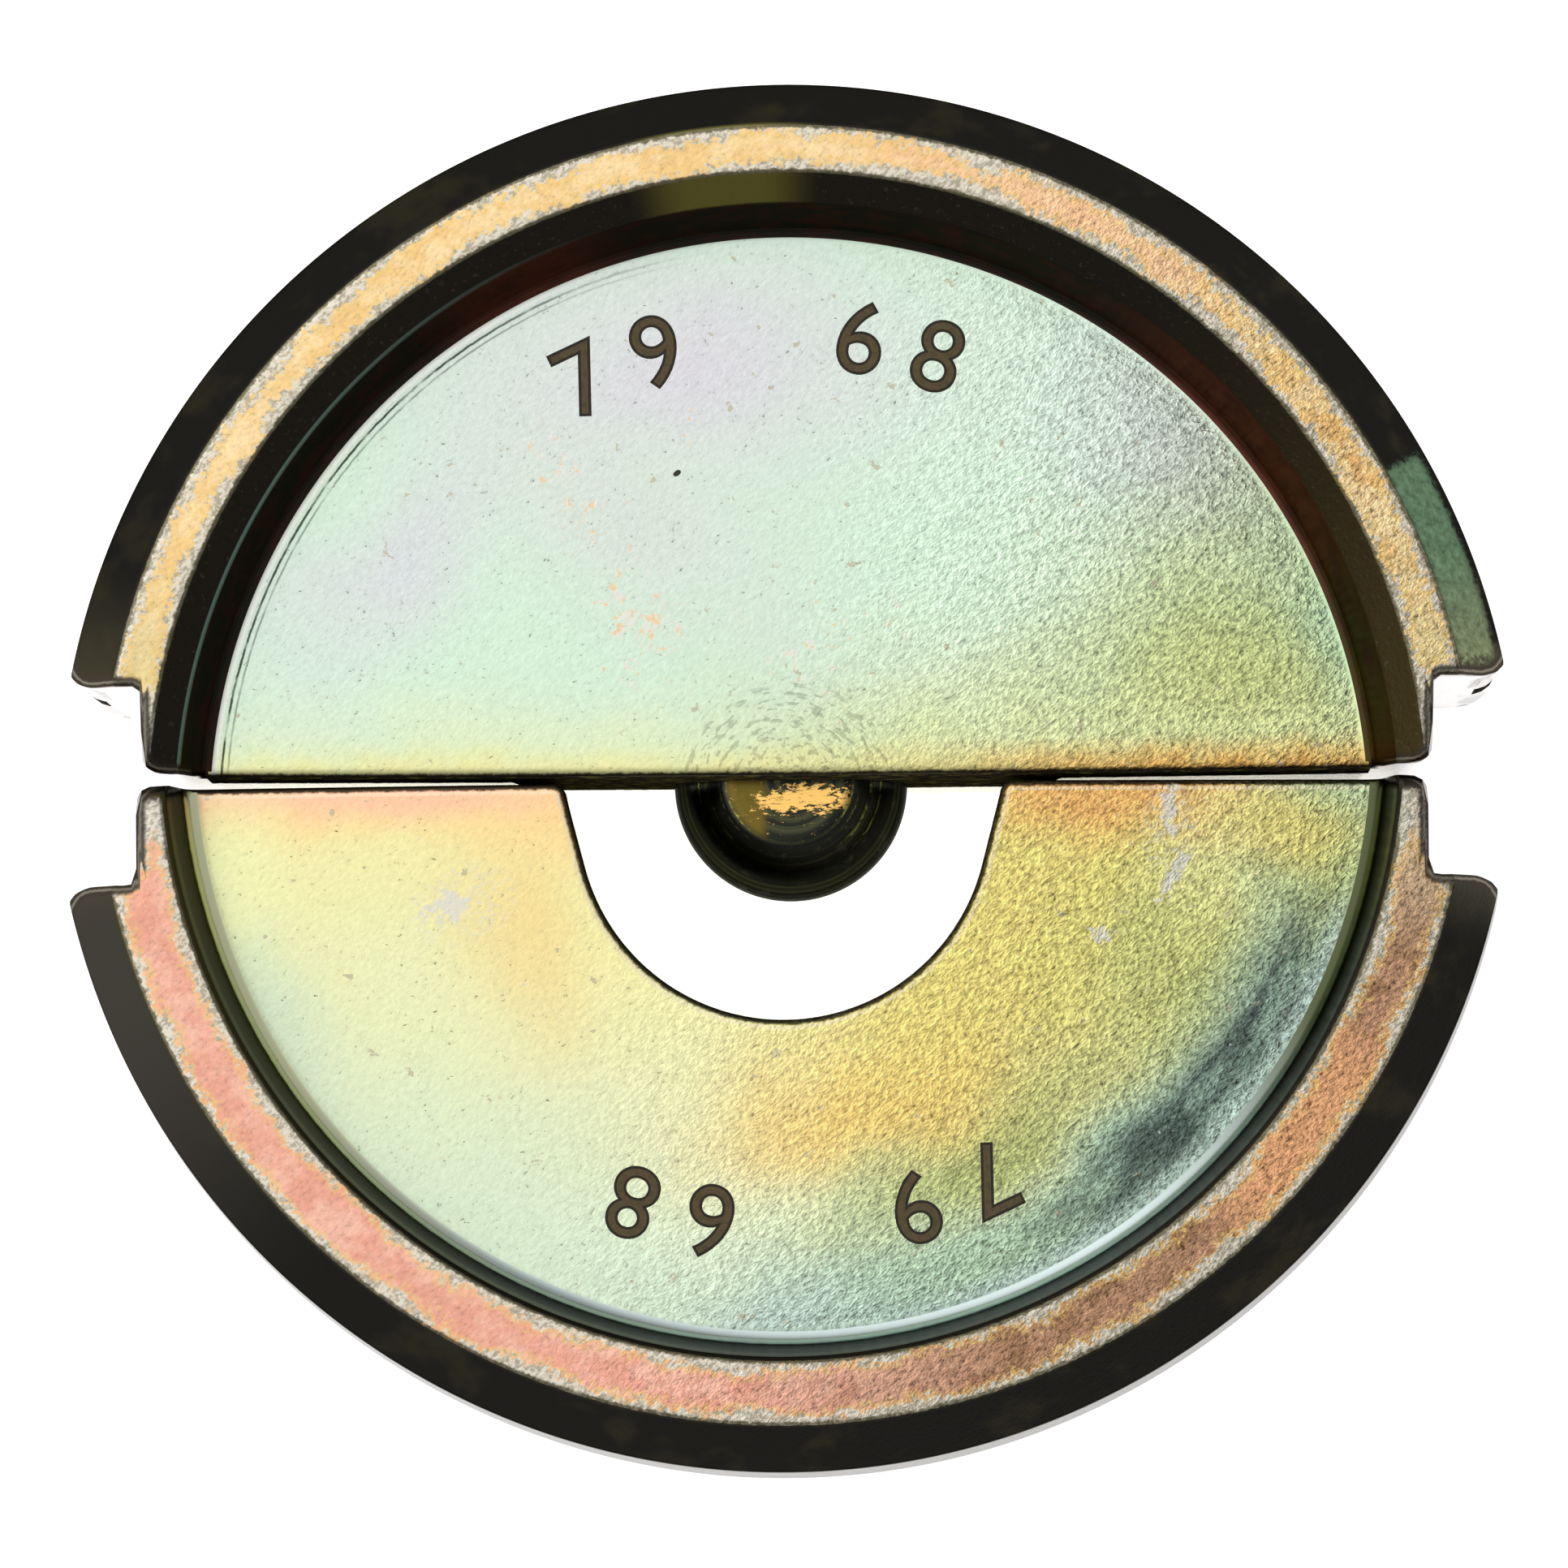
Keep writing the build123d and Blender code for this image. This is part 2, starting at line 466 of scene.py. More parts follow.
def build_nose():
    """Turned ball, half of it sunk in the web."""
    soup = Soup()
    flat_r = math.sqrt(NOSE_R**2 - NOSE_FLAT**2)
    profile = [(flat_r * i / NOSE_FLAT_STEPS, NOSE_FLAT) for i in range(NOSE_FLAT_STEPS)]
    profile += arc((0, 0), NOSE_R, math.atan2(NOSE_FLAT, flat_r), 0, NOSE_BALL_STEPS)
    profile += [(r, -w) for r, w in reversed(profile[:-1])]
    angles = np.linspace(0, 2 * math.pi, NOSE_TURNS + 1)
    soup.grid([[(r * math.cos(a), r * math.sin(a), w) for a in angles] for r, w in profile])
    return soup.mesh("indenter_nose", INDENTER["side"])


def build_marks(half, swell, top):
    """Plain numbers along an arc of the web, as a flat inlay."""
    joined = bmesh.new()
    for turn, text in MARKS:
        curve = bpy.data.curves.new("mark", "FONT")
        curve.body = text
        curve.size = MARK_SIZE
        curve.align_x = "CENTER"
        curve.offset = swell
        curve.extrude = MARK_HALF_DEPTH
        curve.resolution_u = MARK_CURVE_STEPS
        letter = bpy.data.objects.new("mark", curve)
        bpy.context.scene.collection.objects.link(letter)
        shaped = letter.evaluated_get(bpy.context.evaluated_depsgraph_get())
        mesh = bpy.data.meshes.new_from_object(shaped)
        bpy.data.objects.remove(letter)
        angle = math.radians(turn)
        foot = Vector((
            MARK_BASE_R * math.sin(angle),
            MARK_BASE_R * math.cos(angle) - SEAT_DROP,
            HALF_WEB + top - MARK_HALF_DEPTH,
        ))
        mesh.transform(Matrix.Translation(foot) @ Matrix.Rotation(-angle, 4, "Z"))
        joined.from_mesh(mesh)
    bmesh.ops.remove_doubles(joined, verts=joined.verts, dist=MARK_WELD)
    for vertex in joined.verts:
        vertex.co = in_metres(vertex.co, half["side"])
    mesh = bpy.data.meshes.new(half["node"] + "_mark")
    joined.to_mesh(mesh)
    joined.free()
    return mesh


def show(mesh, node, materials):
    """Puts a mesh in the scene in place of a node of the frame."""
    piece = bpy.data.objects.new(mesh.name, mesh)
    bpy.context.scene.collection.objects.link(piece)
    mesh.polygons.foreach_set("use_smooth", [True] * len(mesh.polygons))
    mesh.set_sharp_from_angle(angle=SHARP_ANGLE)
    for material in materials:
        mesh.materials.append(material)
    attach(piece, "root")
    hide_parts(node)


def store_regions(mesh, half):
    """Gives the web and the rim their material slots, and stores the distance to the cut edges."""
    side = half["side"]
    place = np.empty(len(mesh.vertices) * 3)
    mesh.vertices.foreach_get("co", place)
    place = place.reshape(-1, 3) / MM
    plan = np.column_stack([side * place[:, 0] - SLIP / 2, side * place[:, 1] - GAP / 2])
    outline = end_outline(half)[0]
    lines = (outline, outline * [-1, 1], web_edge(half))
    away = np.min([distance_to(line, plan) for line in lines], axis=0)
    layer = mesh.attributes.new("edge", "FLOAT", "POINT")
    layer.data.foreach_set("value", np.minimum(away, 1.0))

    overlap = 0.02
    middles = np.empty(len(mesh.polygons) * 3)
    mesh.polygons.foreach_get("center", middles)
    x, y, z = middles.reshape(-1, 3).T / MM
    radius = np.hypot(x - side * SLIP / 2, y - side * (GAP / 2 - SEAT_DROP))
    on_web = (radius < half["floor_r"] - overlap) & (np.abs(z - MID) < HALF_WEB + overlap)
    mesh.polygons.foreach_set("material_index", (~on_web).astype(np.int32))


class Field:
    """A number or colour that varies over a surface: the socket of the node that makes it."""

    tree = None

    def __init__(self, socket):
        self.socket = socket

    def __add__(self, other):
        return calc("ADD", self, other)

    def __sub__(self, other):
        return calc("SUBTRACT", self, other)

    def __rsub__(self, other):
        return calc("SUBTRACT", other, self)

    def __mul__(self, other):
        return calc("MULTIPLY", self, other)

    def __neg__(self):
        return self * -1

    __radd__ = __add__
    __rmul__ = __mul__


def connect(value, socket):
    """Links a field, or sets a constant."""
    if isinstance(value, Field):
        Field.tree.links.new(value.socket, socket)
    else:
        socket.default_value = value


def add_node(kind, **settings):
    """A new node in the tree that is being made."""
    made = Field.tree.nodes.new(kind)
    for name, value in settings.items():
        setattr(made, name, value)
    return made


def calc(operation, *values):
    """What a Math node makes of fields and constants."""
    made = add_node("ShaderNodeMath", operation=operation)
    for value, socket in zip(values, made.inputs):
        connect(value, socket)
    return Field(made.outputs[0])


def ramp(field, start, end, low=0.0, high=1.0):
    """A smooth step from low to high while the field goes, up or down, from start to end."""
    made = add_node("ShaderNodeMapRange", interpolation_type="SMOOTHSTEP")
    for value, socket in zip((field, start, end, low, high), made.inputs):
        connect(value, socket)
    return Field(made.outputs[0])


def band(field, middle, outside, inside):
    """0 where the field is further than outside from the middle value, 1 within inside of it."""
    return ramp(calc("ABSOLUTE", field - middle), outside, inside)


def vector(x, y, z=0.0):
    """A vector field from its parts."""
    made = add_node("ShaderNodeCombineXYZ")
    for value, socket in zip((x, y, z), made.inputs):
        connect(value, socket)
    return Field(made.outputs[0])


def noise(place, scale, detail=2.0, roughness=0.5):
    """Noise about 0.5, in features of about 1 / scale millimetres."""
    made = add_node("ShaderNodeTexNoise")
    connect(place, made.inputs["Vector"])
    made.inputs["Scale"].default_value = scale
    made.inputs["Detail"].default_value = detail
    made.inputs["Roughness"].default_value = roughness
    return Field(made.outputs["Fac"])


def colour(red, green, blue):
    """A colour given in display values of 0 to 255."""
    linear = []
    for part in (red / 255, green / 255, blue / 255):
        linear.append(part / 12.92 if part <= 0.04045 else ((part + 0.055) / 1.055) ** 2.4)
    return (*linear, 1)


def blend(under, over, amount):
    """The colour over laid on the colour under by the amount."""
    made = add_node("ShaderNodeMix", data_type="RGBA")
    connect(amount, made.inputs["Factor"])
    connect(under, made.inputs["A"])
    connect(over, made.inputs["B"])
    return Field(made.outputs["Result"])


def scaled(shade, amount):
    """A colour made brighter or darker, or a vector made longer or shorter."""
    made = add_node("ShaderNodeVectorMath", operation="SCALE")
    connect(shade, made.inputs[0])
    connect(amount, made.inputs["Scale"])
    return Field(made.outputs[0])


def new_material(name):
    """A material and its shader, whose tree takes the nodes made next."""
    material = bpy.data.materials.new(name)
    material.use_nodes = True
    Field.tree = material.node_tree
    return material, material.node_tree.nodes["Principled BSDF"]


class Place:
    """Fields of position on a piece, in millimetres."""

    def __init__(self):
        source = add_node("ShaderNodeTexCoord")
        self.all = scaled(Field(source.outputs["Object"]), 1 / MM)
        parts = add_node("ShaderNodeSeparateXYZ")
        connect(self.all, parts.inputs[0])
        self.x, self.y, self.z = (Field(socket) for socket in parts.outputs)

    def warped(self, amount, scale):
        """The same place, shifted by slow noise, so that nothing painted on it looks regular."""
        moved = copy.copy(self)
        moved.x = self.x + (noise(self.all, scale) - 0.5) * amount * 2
        moved.y = self.y + (noise(self.all, scale * 1.07, roughness=0.6) - 0.5) * amount * -2
        return moved

    def radius(self, x, y):
        """Distance from an upright line through a point."""
        return calc("SQRT", (self.x - x) * (self.x - x) + (self.y - y) * (self.y - y))

    def angle(self, x, y):
        """Degrees anticlockwise from +X about a point."""
        return calc("ARCTAN2", self.y - y, self.x - x) * (180 / math.pi)

    def spot(self, at, size, turn=0):
        """1 at a point, fading to 0 over an ellipse that is turned by so many degrees."""
        cos = math.cos(math.radians(turn))
        sin = math.sin(math.radians(turn))
        x = self.x - at[0]
        y = self.y - at[1]
        a = (x * cos + y * sin) * (1 / size[0])
        b = (y * cos - x * sin) * (1 / size[1])
        return calc("EXPONENT", (a * a + b * b) * -1.0)


# Relief and fineness of the blasted skin
GRAIN_SCALE = 7.6
GRAIN_RELIEF = -0.08
COARSE_SCALE = 3.6
COARSE_RELIEF = 0.05
LEAST_ROUGH = 0.07

# Near-black painted on the steep chamfer, mouth and recess wall, for the dark they reflect
REFLECTED_DARK = colour(26, 25, 23)
SILVER = colour(226, 221, 206)
STEEL = colour(204, 200, 197)


def indenter_web_colour(place):
    """Pale mint, lilac in patches, yellow-green to the right and yellow to orange at the edge."""
    soft = place.warped(1.6, 0.16)
    shade = colour(210, 232, 210)
    shade = blend(shade, colour(216, 213, 219), soft.spot((-2.5, 10.8), (5.5, 2.6)) * 0.95)
    shade = blend(shade, colour(214, 213, 220), soft.spot((-10.3, 6.0), (3.6, 1.5), 50) * 0.75)
    shade = blend(shade, colour(215, 216, 213), soft.spot((-4.0, 6.6), (4.2, 2.0), -30) * 0.6)
    shade = blend(shade, colour(196, 199, 200), soft.spot((10.2, 8.2), (3.6, 2.0), -50) * 0.9)

    # Yellow-green to the right
    right = ramp(soft.x - soft.y * 0.35, 3.5, 12)
    shade = blend(shade, colour(180, 198, 150), right * 0.78)
    shade = blend(shade, colour(178, 184, 104), soft.spot((11.2, 2.4), (4.2, 2.3)) * 0.9)
    shade = blend(shade, colour(172, 206, 176), soft.spot((14.6, 3.4), (1.2, 2.4), 20) * 0.9)
    shade = blend(shade, colour(198, 212, 160), soft.spot((10.0, 4.8), (3.0, 2.0)) * 0.6)

    # Towards the parting edge: yellow-green, then yellow, then orange at the right
    low = 1 - ramp(soft.y + (noise(place.all, 0.5) - 0.5) * 1.2, 0.2, 3.2)
    shade = blend(shade, colour(226, 234, 180), low * 0.6)
    haze = ramp(soft.x, -4, 4) * (1 - ramp(soft.y, 0.8, 5.0))
    shade = blend(shade, colour(204, 210, 150), haze * 0.6)
    edge = 1 - ramp(place.y + (noise(place.all, 0.9) - 0.5) * 0.8, 0.1, 1.15)
    shade = blend(shade, colour(234, 226, 152), edge * (1 - ramp(place.x, -2, 5, 0.25, 0.6)))
    shade = blend(shade, colour(208, 192, 118), edge * ramp(place.x, -2, 7) * 0.7)
    orange = ramp(place.x, 2, 10) * (1 - ramp(place.y + (noise(place.all, 1.3) - 0.5), 0.0, 1.3))
    return blend(shade, colour(206, 148, 72), orange * 0.8)


def cradle_web_colour(place):
    """Orange to yellow near the trough, mint below, and a dark teal streak at the right."""
    soft = place.warped(1.5, 0.18)
    from_nose = soft.radius(0, 0)
    shade = colour(238, 231, 168)

    # Mint at the left and below
    far = ramp(-soft.y - soft.x * 0.25, 5.0, 13.5)
    left = 1 - ramp(soft.x, 2, 10)
    shade = blend(shade, colour(214, 232, 205), far * left * 0.95)
    shade = blend(shade, colour(230, 236, 188), soft.spot((-9.6, -5.4), (3.6, 1.8), -30) * 0.6)
    shade = blend(shade, colour(206, 226, 200), soft.spot((-14.0, -5.0), (1.2, 3.5), 25) * 0.8)

    # Gold round the trough, and olive and green beyond it
    gold = ramp(soft.x, -2.5, 4) * (1 - ramp(from_nose, 8.5, 12))
    shade = blend(shade, colour(224, 207, 122), gold * 0.95)
    shade = blend(shade, colour(238, 200, 118), soft.spot((1.8, -8.6), (4.5, 1.3), 12) * 0.8)
    shade = blend(shade, colour(240, 208, 140), soft.spot((-6.8, -3.6), (1.4, 3.2), 10) * 0.6)
    shade = blend(shade, colour(178, 186, 112), soft.spot((10.5, -5.0), (3.6, 3.2), 40) * 0.85)
    shade = blend(shade, colour(168, 178, 112), soft.spot((5.0, -10.0), (5.2, 1.7), 28) * 0.9)
    green = ramp(from_nose, 11.4, 13.6) * ramp(soft.x, -3, 3)
    shade = blend(shade, colour(168, 196, 168), green * 0.9)
    shade = blend(shade, colour(186, 206, 196), soft.spot((-0.6, -13.7), (3.5, 1.3)) * 0.8)

    # Towards the parting edge: orange, and pink at the left
    top = 1 - ramp(-soft.y + (noise(place.all, 0.8) - 0.5) * 0.9, 0.3, 2.4)
    shade = blend(shade, colour(250, 212, 150), top * (1 - ramp(place.x, -6, 5)) * 0.9)
    pink = 1 - ramp(-place.y + (noise(place.all, 1.1) - 0.5) * 0.8, 0.3, 1.3)
    shade = blend(shade, colour(252, 194, 166), pink * (1 - ramp(place.x, -9, -4)) * 0.8)
    orange = top * ramp(place.x, 3, 7) * (1 - ramp(place.x, 10, 14))
    shade = blend(shade, colour(228, 174, 106), orange * 0.95)
    shade = blend(shade, colour(180, 190, 118), soft.spot((13.6, -2.2), (1.4, 2.6)) * 0.75)
    shade = blend(shade, colour(216, 200, 118), soft.spot((13.0, -1.2), (1.6, 0.9)) * 0.8)
    shade = blend(shade, colour(240, 242, 180), soft.spot((-14.2, -2.4), (1.2, 2.0)) * 0.8)

    # Dark teal streak round the lower right, and a paler strip outside it, painted reflection at the
    # foot of the wall
    radius = place.radius(0, 0) * 0.6 + from_nose * 0.4
    angle = place.angle(0, 0)
    streak = ramp(radius, 11.8, 13.4) * (1 - ramp(radius, 14.3, 15.1))
    streak = streak * ramp(angle, -72, -42) * (1 - ramp(angle, -26, -8))
    streaky = noise(vector(radius, angle * 0.09), 1.1, 3, 0.6)
    shade = blend(shade, colour(128, 150, 138), streak * 0.8)
    darkest = streak * ramp(streaky, 0.36, 0.6) * ramp(radius, 12.6, 13.4)
    shade = blend(shade, colour(62, 74, 72), darkest * 0.85)
    from_seat = place.radius(-SLIP / 2, SEAT_DROP - GAP / 2)
    wall_foot_sheen = ramp(from_seat, 14.55, 15.15) * ramp(angle, -100, -70)
    return blend(shade, colour(176, 196, 184), wall_foot_sheen * (1 - ramp(angle, -22, -8)) * 0.9)


def land_colour(place, half):
    """Gold to orange on the indenter half, pink to copper brown on the cradle half."""
    patch = noise(place.all, 0.9, 4, 0.65)
    angle = place.angle(0, -half["side"] * SEAT_DROP)
    if half["side"] > 0:
        shade = blend(colour(248, 218, 166), colour(240, 202, 138), ramp(patch, 0.42, 0.6))
        shade = blend(shade, colour(246, 196, 158), band(angle, 65, 22, 8) * 0.7)
        orange = band(angle, 27, 14, 6) * ramp(patch, 0.46, 0.56)
        shade = blend(shade, colour(222, 172, 108), orange * 0.7)
        pale = ramp(angle, 152, 172) + (1 - ramp(angle, 6, 34))
        return blend(shade, colour(214, 204, 150), pale * 0.75)
    mottle = ramp(patch, 0.4, 0.6)
    pink = blend(colour(242, 188, 166), colour(232, 166, 144), mottle)
    brown = blend(colour(186, 144, 114), colour(158, 120, 90), mottle)
    shade = blend(pink, brown, ramp(angle, -100, -68))
    shade = blend(shade, colour(232, 172, 124), band(angle, -38, 13, 6) * 0.8)
    return blend(shade, colour(206, 180, 146), ramp(angle, -22, -12) * 0.8)


class Skin:
    """Fields that the web and the rim of a half both use."""

    def __init__(self, half):
        side = half["side"]
        self.place = place = Place()
        self.radius = place.radius(side * SLIP / 2, side * (GAP / 2 - SEAT_DROP))
        self.height = calc("ABSOLUTE", place.z - MID)
        self.inward = place.y * side - GAP / 2
        stored = add_node("ShaderNodeAttribute", attribute_name="edge")
        self.edge = Field(stored.outputs["Fac"])

        # Blasted grain, a little drawn out on the slant
        along = place.x * 0.66 + place.y * 0.56
        across = place.y - place.x * 0.84
        self.grain = noise(vector(along, across, place.z), GRAIN_SCALE, 3, 0.62)
        self.coarse = noise(place.all, COARSE_SCALE, 2, 0.6)
        self.blotch = noise(place.all, 0.5, 3, 0.6)
        self.ragged = noise(place.all, 4.5, 4, 0.75) - 0.5

        # It shows more towards the right, and not in the smooth root of the recess wall
        smooth_left = -2 if side > 0 else -6
        self.rough = ramp(place.x - place.y * 0.22, smooth_left, 11, LEAST_ROUGH, 1.0)
        on_web = ramp(self.radius, half["floor_r"] - 0.15, half["floor_r"] - 0.35)
        on_land = ramp(self.radius, half["mouth_inner"], half["mouth_inner"] + 0.1)
        self.blasted = calc("MAXIMUM", on_web, on_land)

        # Faces cut square to the front: notches, parting faces and trough
        source = add_node("ShaderNodeNewGeometry")
        normal = add_node("ShaderNodeSeparateXYZ")
        Field.tree.links.new(source.outputs["Normal"], normal.inputs[0])
        upright = calc("ABSOLUTE", Field(normal.outputs[2]))
        self.cut = ramp(self.edge, 0.05, 0.02) * ramp(upright, 0.45, 0.3)

    def cut_shade(self):
        """Cut faces at the notches and along the parting line: bright steel, specked brown."""
        shade = blend(STEEL, colour(170, 154, 148), ramp(self.ragged, 0.02, 0.12) * 0.6)
        shade = blend(shade, colour(104, 94, 86), ramp(self.coarse, 0.62, 0.68) * 0.7)
        return blend(shade, colour(112, 98, 92), ramp(self.height, 5.9, 6.2) * 0.7)

    def finish(self, shader, shade, roughness, depth=1.0, matt=0.0):
        """Joins colour, metal, and relief of that depth to the shader."""
        relief = (self.grain - 0.5) * GRAIN_RELIEF + (self.coarse - 0.5) * COARSE_RELIEF
        bump = add_node("ShaderNodeBump")
        bump.inputs["Distance"].default_value = MM
        bump.inputs["Strength"].default_value = 1
        connect(relief * self.blasted * self.rough * depth, bump.inputs["Height"])
        Field.tree.links.new(bump.outputs[0], shader.inputs["Normal"])
        connect(shade, shader.inputs["Base Color"])
        connect(1 - matt, shader.inputs["Metallic"])
        shader.inputs["Specular IOR Level"].default_value = 0
        connect(roughness, shader.inputs["Roughness"])


def indenter_wear(web, skin, half):
    """The indenter web with its chips, the arcs above the nose, turned lines by the wall, a painted
    highlight by them, and painted shade at the cut edges and the wall's root.
    """
    place = skin.place
    trail = place.spot((-5.9, 7.8), (1.6, 1.0), -50) + place.spot((-4.2, 5.2), (1.9, 0.9), -60)
    trail = trail + place.spot((-3.4, 3.6), (1.5, 1.0), 50) + place.spot((-2.6, 8.8), (0.9, 0.8))
    trail = trail + place.spot((1.0, 3.4), (2.6, 1.6), 20) * 0.7
    chips = ramp(noise(place.all, 3.0, 4, 0.7) + trail * 0.1, 0.66, 0.70) * ramp(trail, 0.05, 0.3)
    chip_shade = blend(colour(246, 200, 150), colour(232, 228, 218), ramp(skin.coarse, 0.4, 0.5))
    web = blend(web, chip_shade, chips * 0.8)
    pit = place.spot((-2.75, 7.95), (0.14, 0.09), 30)
    web = blend(web, colour(60, 62, 56), ramp(pit + skin.ragged * 0.5, 0.45, 0.6))

    ring = place.radius(0.1, -0.4)
    arcs = noise(vector(ring, place.angle(0.1, -0.4) * 0.012), 7.5, 2, 0.6)
    arcs = ramp(arcs, 0.53, 0.60) * (1 - ramp(ring, 2.6, 3.3))
    web = blend(web, scaled(web, 0.55), arcs * 0.7)

    tool = band(skin.radius + skin.ragged * 0.06, 14.72, 0.05, 0.01)
    tool = tool + band(skin.radius + skin.ragged * 0.05, 14.56, 0.04, 0.01) * 0.6
    broken = ramp(noise(place.all, 1.2), 0.3, 0.5, 0.3)
    web = blend(web, colour(66, 74, 66), tool * ramp(place.x, -1, -9) * broken)
    # Painted highlight on the rounded root of the wall, at the left
    pale = band(skin.radius, 14.9, 0.1, 0.05) * ramp(place.x, -3, -8)
    web = blend(web, colour(246, 248, 240), pale * 0.75)

    # Painted shade along the rounded cut edges
    edge_shade = ramp(skin.edge + skin.ragged * 0.16, 0.15, 0.07)
    web = blend(web, colour(44, 40, 30), edge_shade * 0.95)
    # Painted shade at the root of the recess wall
    root = ramp(skin.radius + skin.ragged * 0.05, half["floor_r"] - 0.10, half["floor_r"] + 0.02)
    return blend(web, colour(48, 46, 36), root)


def cradle_wear(web, skin, half):
    """The cradle web with its scrapes and chips, painted light on its root, and a painted shade line
    with a painted glint along its edges, round the trough too.
    """
    place = skin.place
    # Painted light on the web's rounded root: brighter at the left, darker at the bottom and right
    left_root_light = ramp(skin.radius, half["floor_r"] - 0.4, half["floor_r"] - 0.1)
    low_root_shade = ramp(skin.radius, half["floor_r"] - 0.45, half["floor_r"] - 0.2)
    left_root_light = left_root_light * ramp(place.x, -6, -10)
    low_root_shade = low_root_shade * ramp(place.x, -6, 0)
    web = scaled(web, left_root_light * 0.4 - low_root_shade * 0.3 + 1)

    scraped = colour(222, 220, 208)
    branch = noise(vector(place.x - place.y * 0.8, place.y + place.x * 0.6), 1.7, 5, 0.7)
    around = place.spot((-8.4, -3.2), (1.5, 1.0), 20) + place.spot((9.9, -1.4), (0.7, 1.3))
    branch = band(branch, 0.5, 0.016, 0.004) * ramp(around, 0.25, 0.5)
    web = blend(web, scraped, branch * 0.75)
    scrapes = place.spot((-8.7, -3.2), (0.7, 0.5), 20) + place.spot((9.9, -0.9), (0.3, 0.8))
    scrapes = scrapes + place.spot((8.1, -4.1), (0.35, 0.25))
    scrapes = scrapes + place.spot((10, -2.6), (0.25, 0.7), -30)
    web = blend(web, scraped, ramp(scrapes + skin.ragged * 3.2, 0.55, 0.7) * 0.85)
    chips = ramp(noise(place.all, 2.6, 4, 0.7), 0.68, 0.72)
    web = blend(web, colour(228, 204, 160), chips * 0.5)

    # Painted shade along the rounded edges, with a painted glint beside it
    edge_shade = ramp(skin.edge + skin.ragged * 0.16, 0.19, 0.11)
    web = blend(web, colour(44, 40, 30), edge_shade * 0.95)
    edge_glint = band(skin.edge + skin.ragged * 0.1, 0.22, 0.06, 0.02)
    return blend(web, colour(238, 226, 196), edge_glint * 0.55)


def web_material(half):
    """Blasted and plated web, chipped and scratched, with painted light and shade on its relief and
    along its edges.
    """
    material, shader = new_material(half["node"] + "_web")
    skin = Skin(half)
    place = skin.place
    on_indenter = half["side"] > 0
    web = indenter_web_colour(place) if on_indenter else cradle_web_colour(place)
    # Painted light and shade on the blasted relief: lighter on its peaks and over the rough parts,
    # darker in its pits, with painted shadow in the deepest pits
    grain = (0.5 - skin.grain) * (skin.rough * 3.0 + 0.15) * skin.blasted
    web = scaled(web, skin.rough * 0.16 + grain + 1.03)
    pit_shadow = ramp(skin.grain, 0.66, 0.70) * ramp(skin.coarse, 0.47, 0.55)
    web = blend(web, scaled(web, 0.38), pit_shadow * (0.9 - skin.rough * 0.3))
    stain = ramp(noise(place.all, 1.9, 4, 0.65), 0.665, 0.69)
    web = blend(web, colour(188, 180, 152), stain * 0.75)
    dash = noise(vector(place.x + place.y * 0.6, place.y * 2.4), 3.2, 3, 0.7)
    web = blend(web, colour(92, 92, 70), ramp(dash, 0.69, 0.72) * 0.85)
    web = indenter_wear(web, skin, half) if on_indenter else cradle_wear(web, skin, half)

    cut = skin.cut_shade()
    matt = 0.0
    if on_indenter:
        # The upper part of the indenter's parting face keeps its dark, matt plating
        low = ramp(calc("ABSOLUTE", place.x), 7.2, 6.7, low=9.1, high=5.4)
        plated = ramp(place.z + skin.ragged * 0.8 - low, -0.1, 0.1)
        smear = noise(vector(place.x, place.z * 1.6), 1.5, 4, 0.75)
        olive = blend(colour(50, 46, 38), colour(130, 124, 62), ramp(smear, 0.50, 0.62) * 0.85)
        cut = blend(cut, olive, plated)
        matt = plated * skin.cut
    skin.finish(shader, blend(web, cut, skin.cut), 0.36 - skin.cut * 0.26, matt=matt)
    return material


def land_shade(skin, half):
    """Land, with ragged silver at both edges and bare at the ends of the rim, painted light and
    shade on its relief, and painted shade on the rounded ends.
    """
    land = land_colour(skin.place, half)
    # Painted shadow in the pits of the relief, and lighter on its peaks
    land_pit_shadow = ramp(skin.grain, 0.60, 0.68)
    land = blend(land, scaled(land, 0.45), land_pit_shadow * (skin.rough * 0.6 + 0.2))
    land = scaled(land, (0.5 - skin.grain) * (skin.rough * 1.6 + 0.5) + 1)
    width = LAND_OUTER - half["land_inner"]
    middle = LAND_OUTER - width / 2
    to_edge = width / 2 - calc("ABSOLUTE", skin.radius - middle)
    to_edge = calc("MINIMUM", to_edge, skin.edge - 0.05)
    worn_reach = to_edge + skin.ragged * 1.3 + (skin.blotch - 0.5) * 1.2
    worn = blend(SILVER, colour(168, 164, 148), ramp(skin.grain, 0.4, 0.62))
    land = blend(land, colour(240, 200, 120), ramp(worn_reach, 0.42, 0.25) * 0.6)
    land = blend(land, worn, ramp(worn_reach, 0.25, 0.15) * 0.92)
    fringe = ramp(to_edge + skin.ragged * 0.3, 0.06, 0.0)
    land = blend(land, colour(84, 78, 44), fringe * 0.8)
    land = blend(land, worn, ramp(skin.inward + skin.ragged * 1.6, 1.9, 1.2) * 0.8)
    # Painted shade on the rounded ends of the rim
    shaded_rim_end = ramp(skin.inward + skin.ragged * 0.5, 0.62, 0.42)
    return blend(land, colour(52, 48, 42), shaded_rim_end * 0.9)


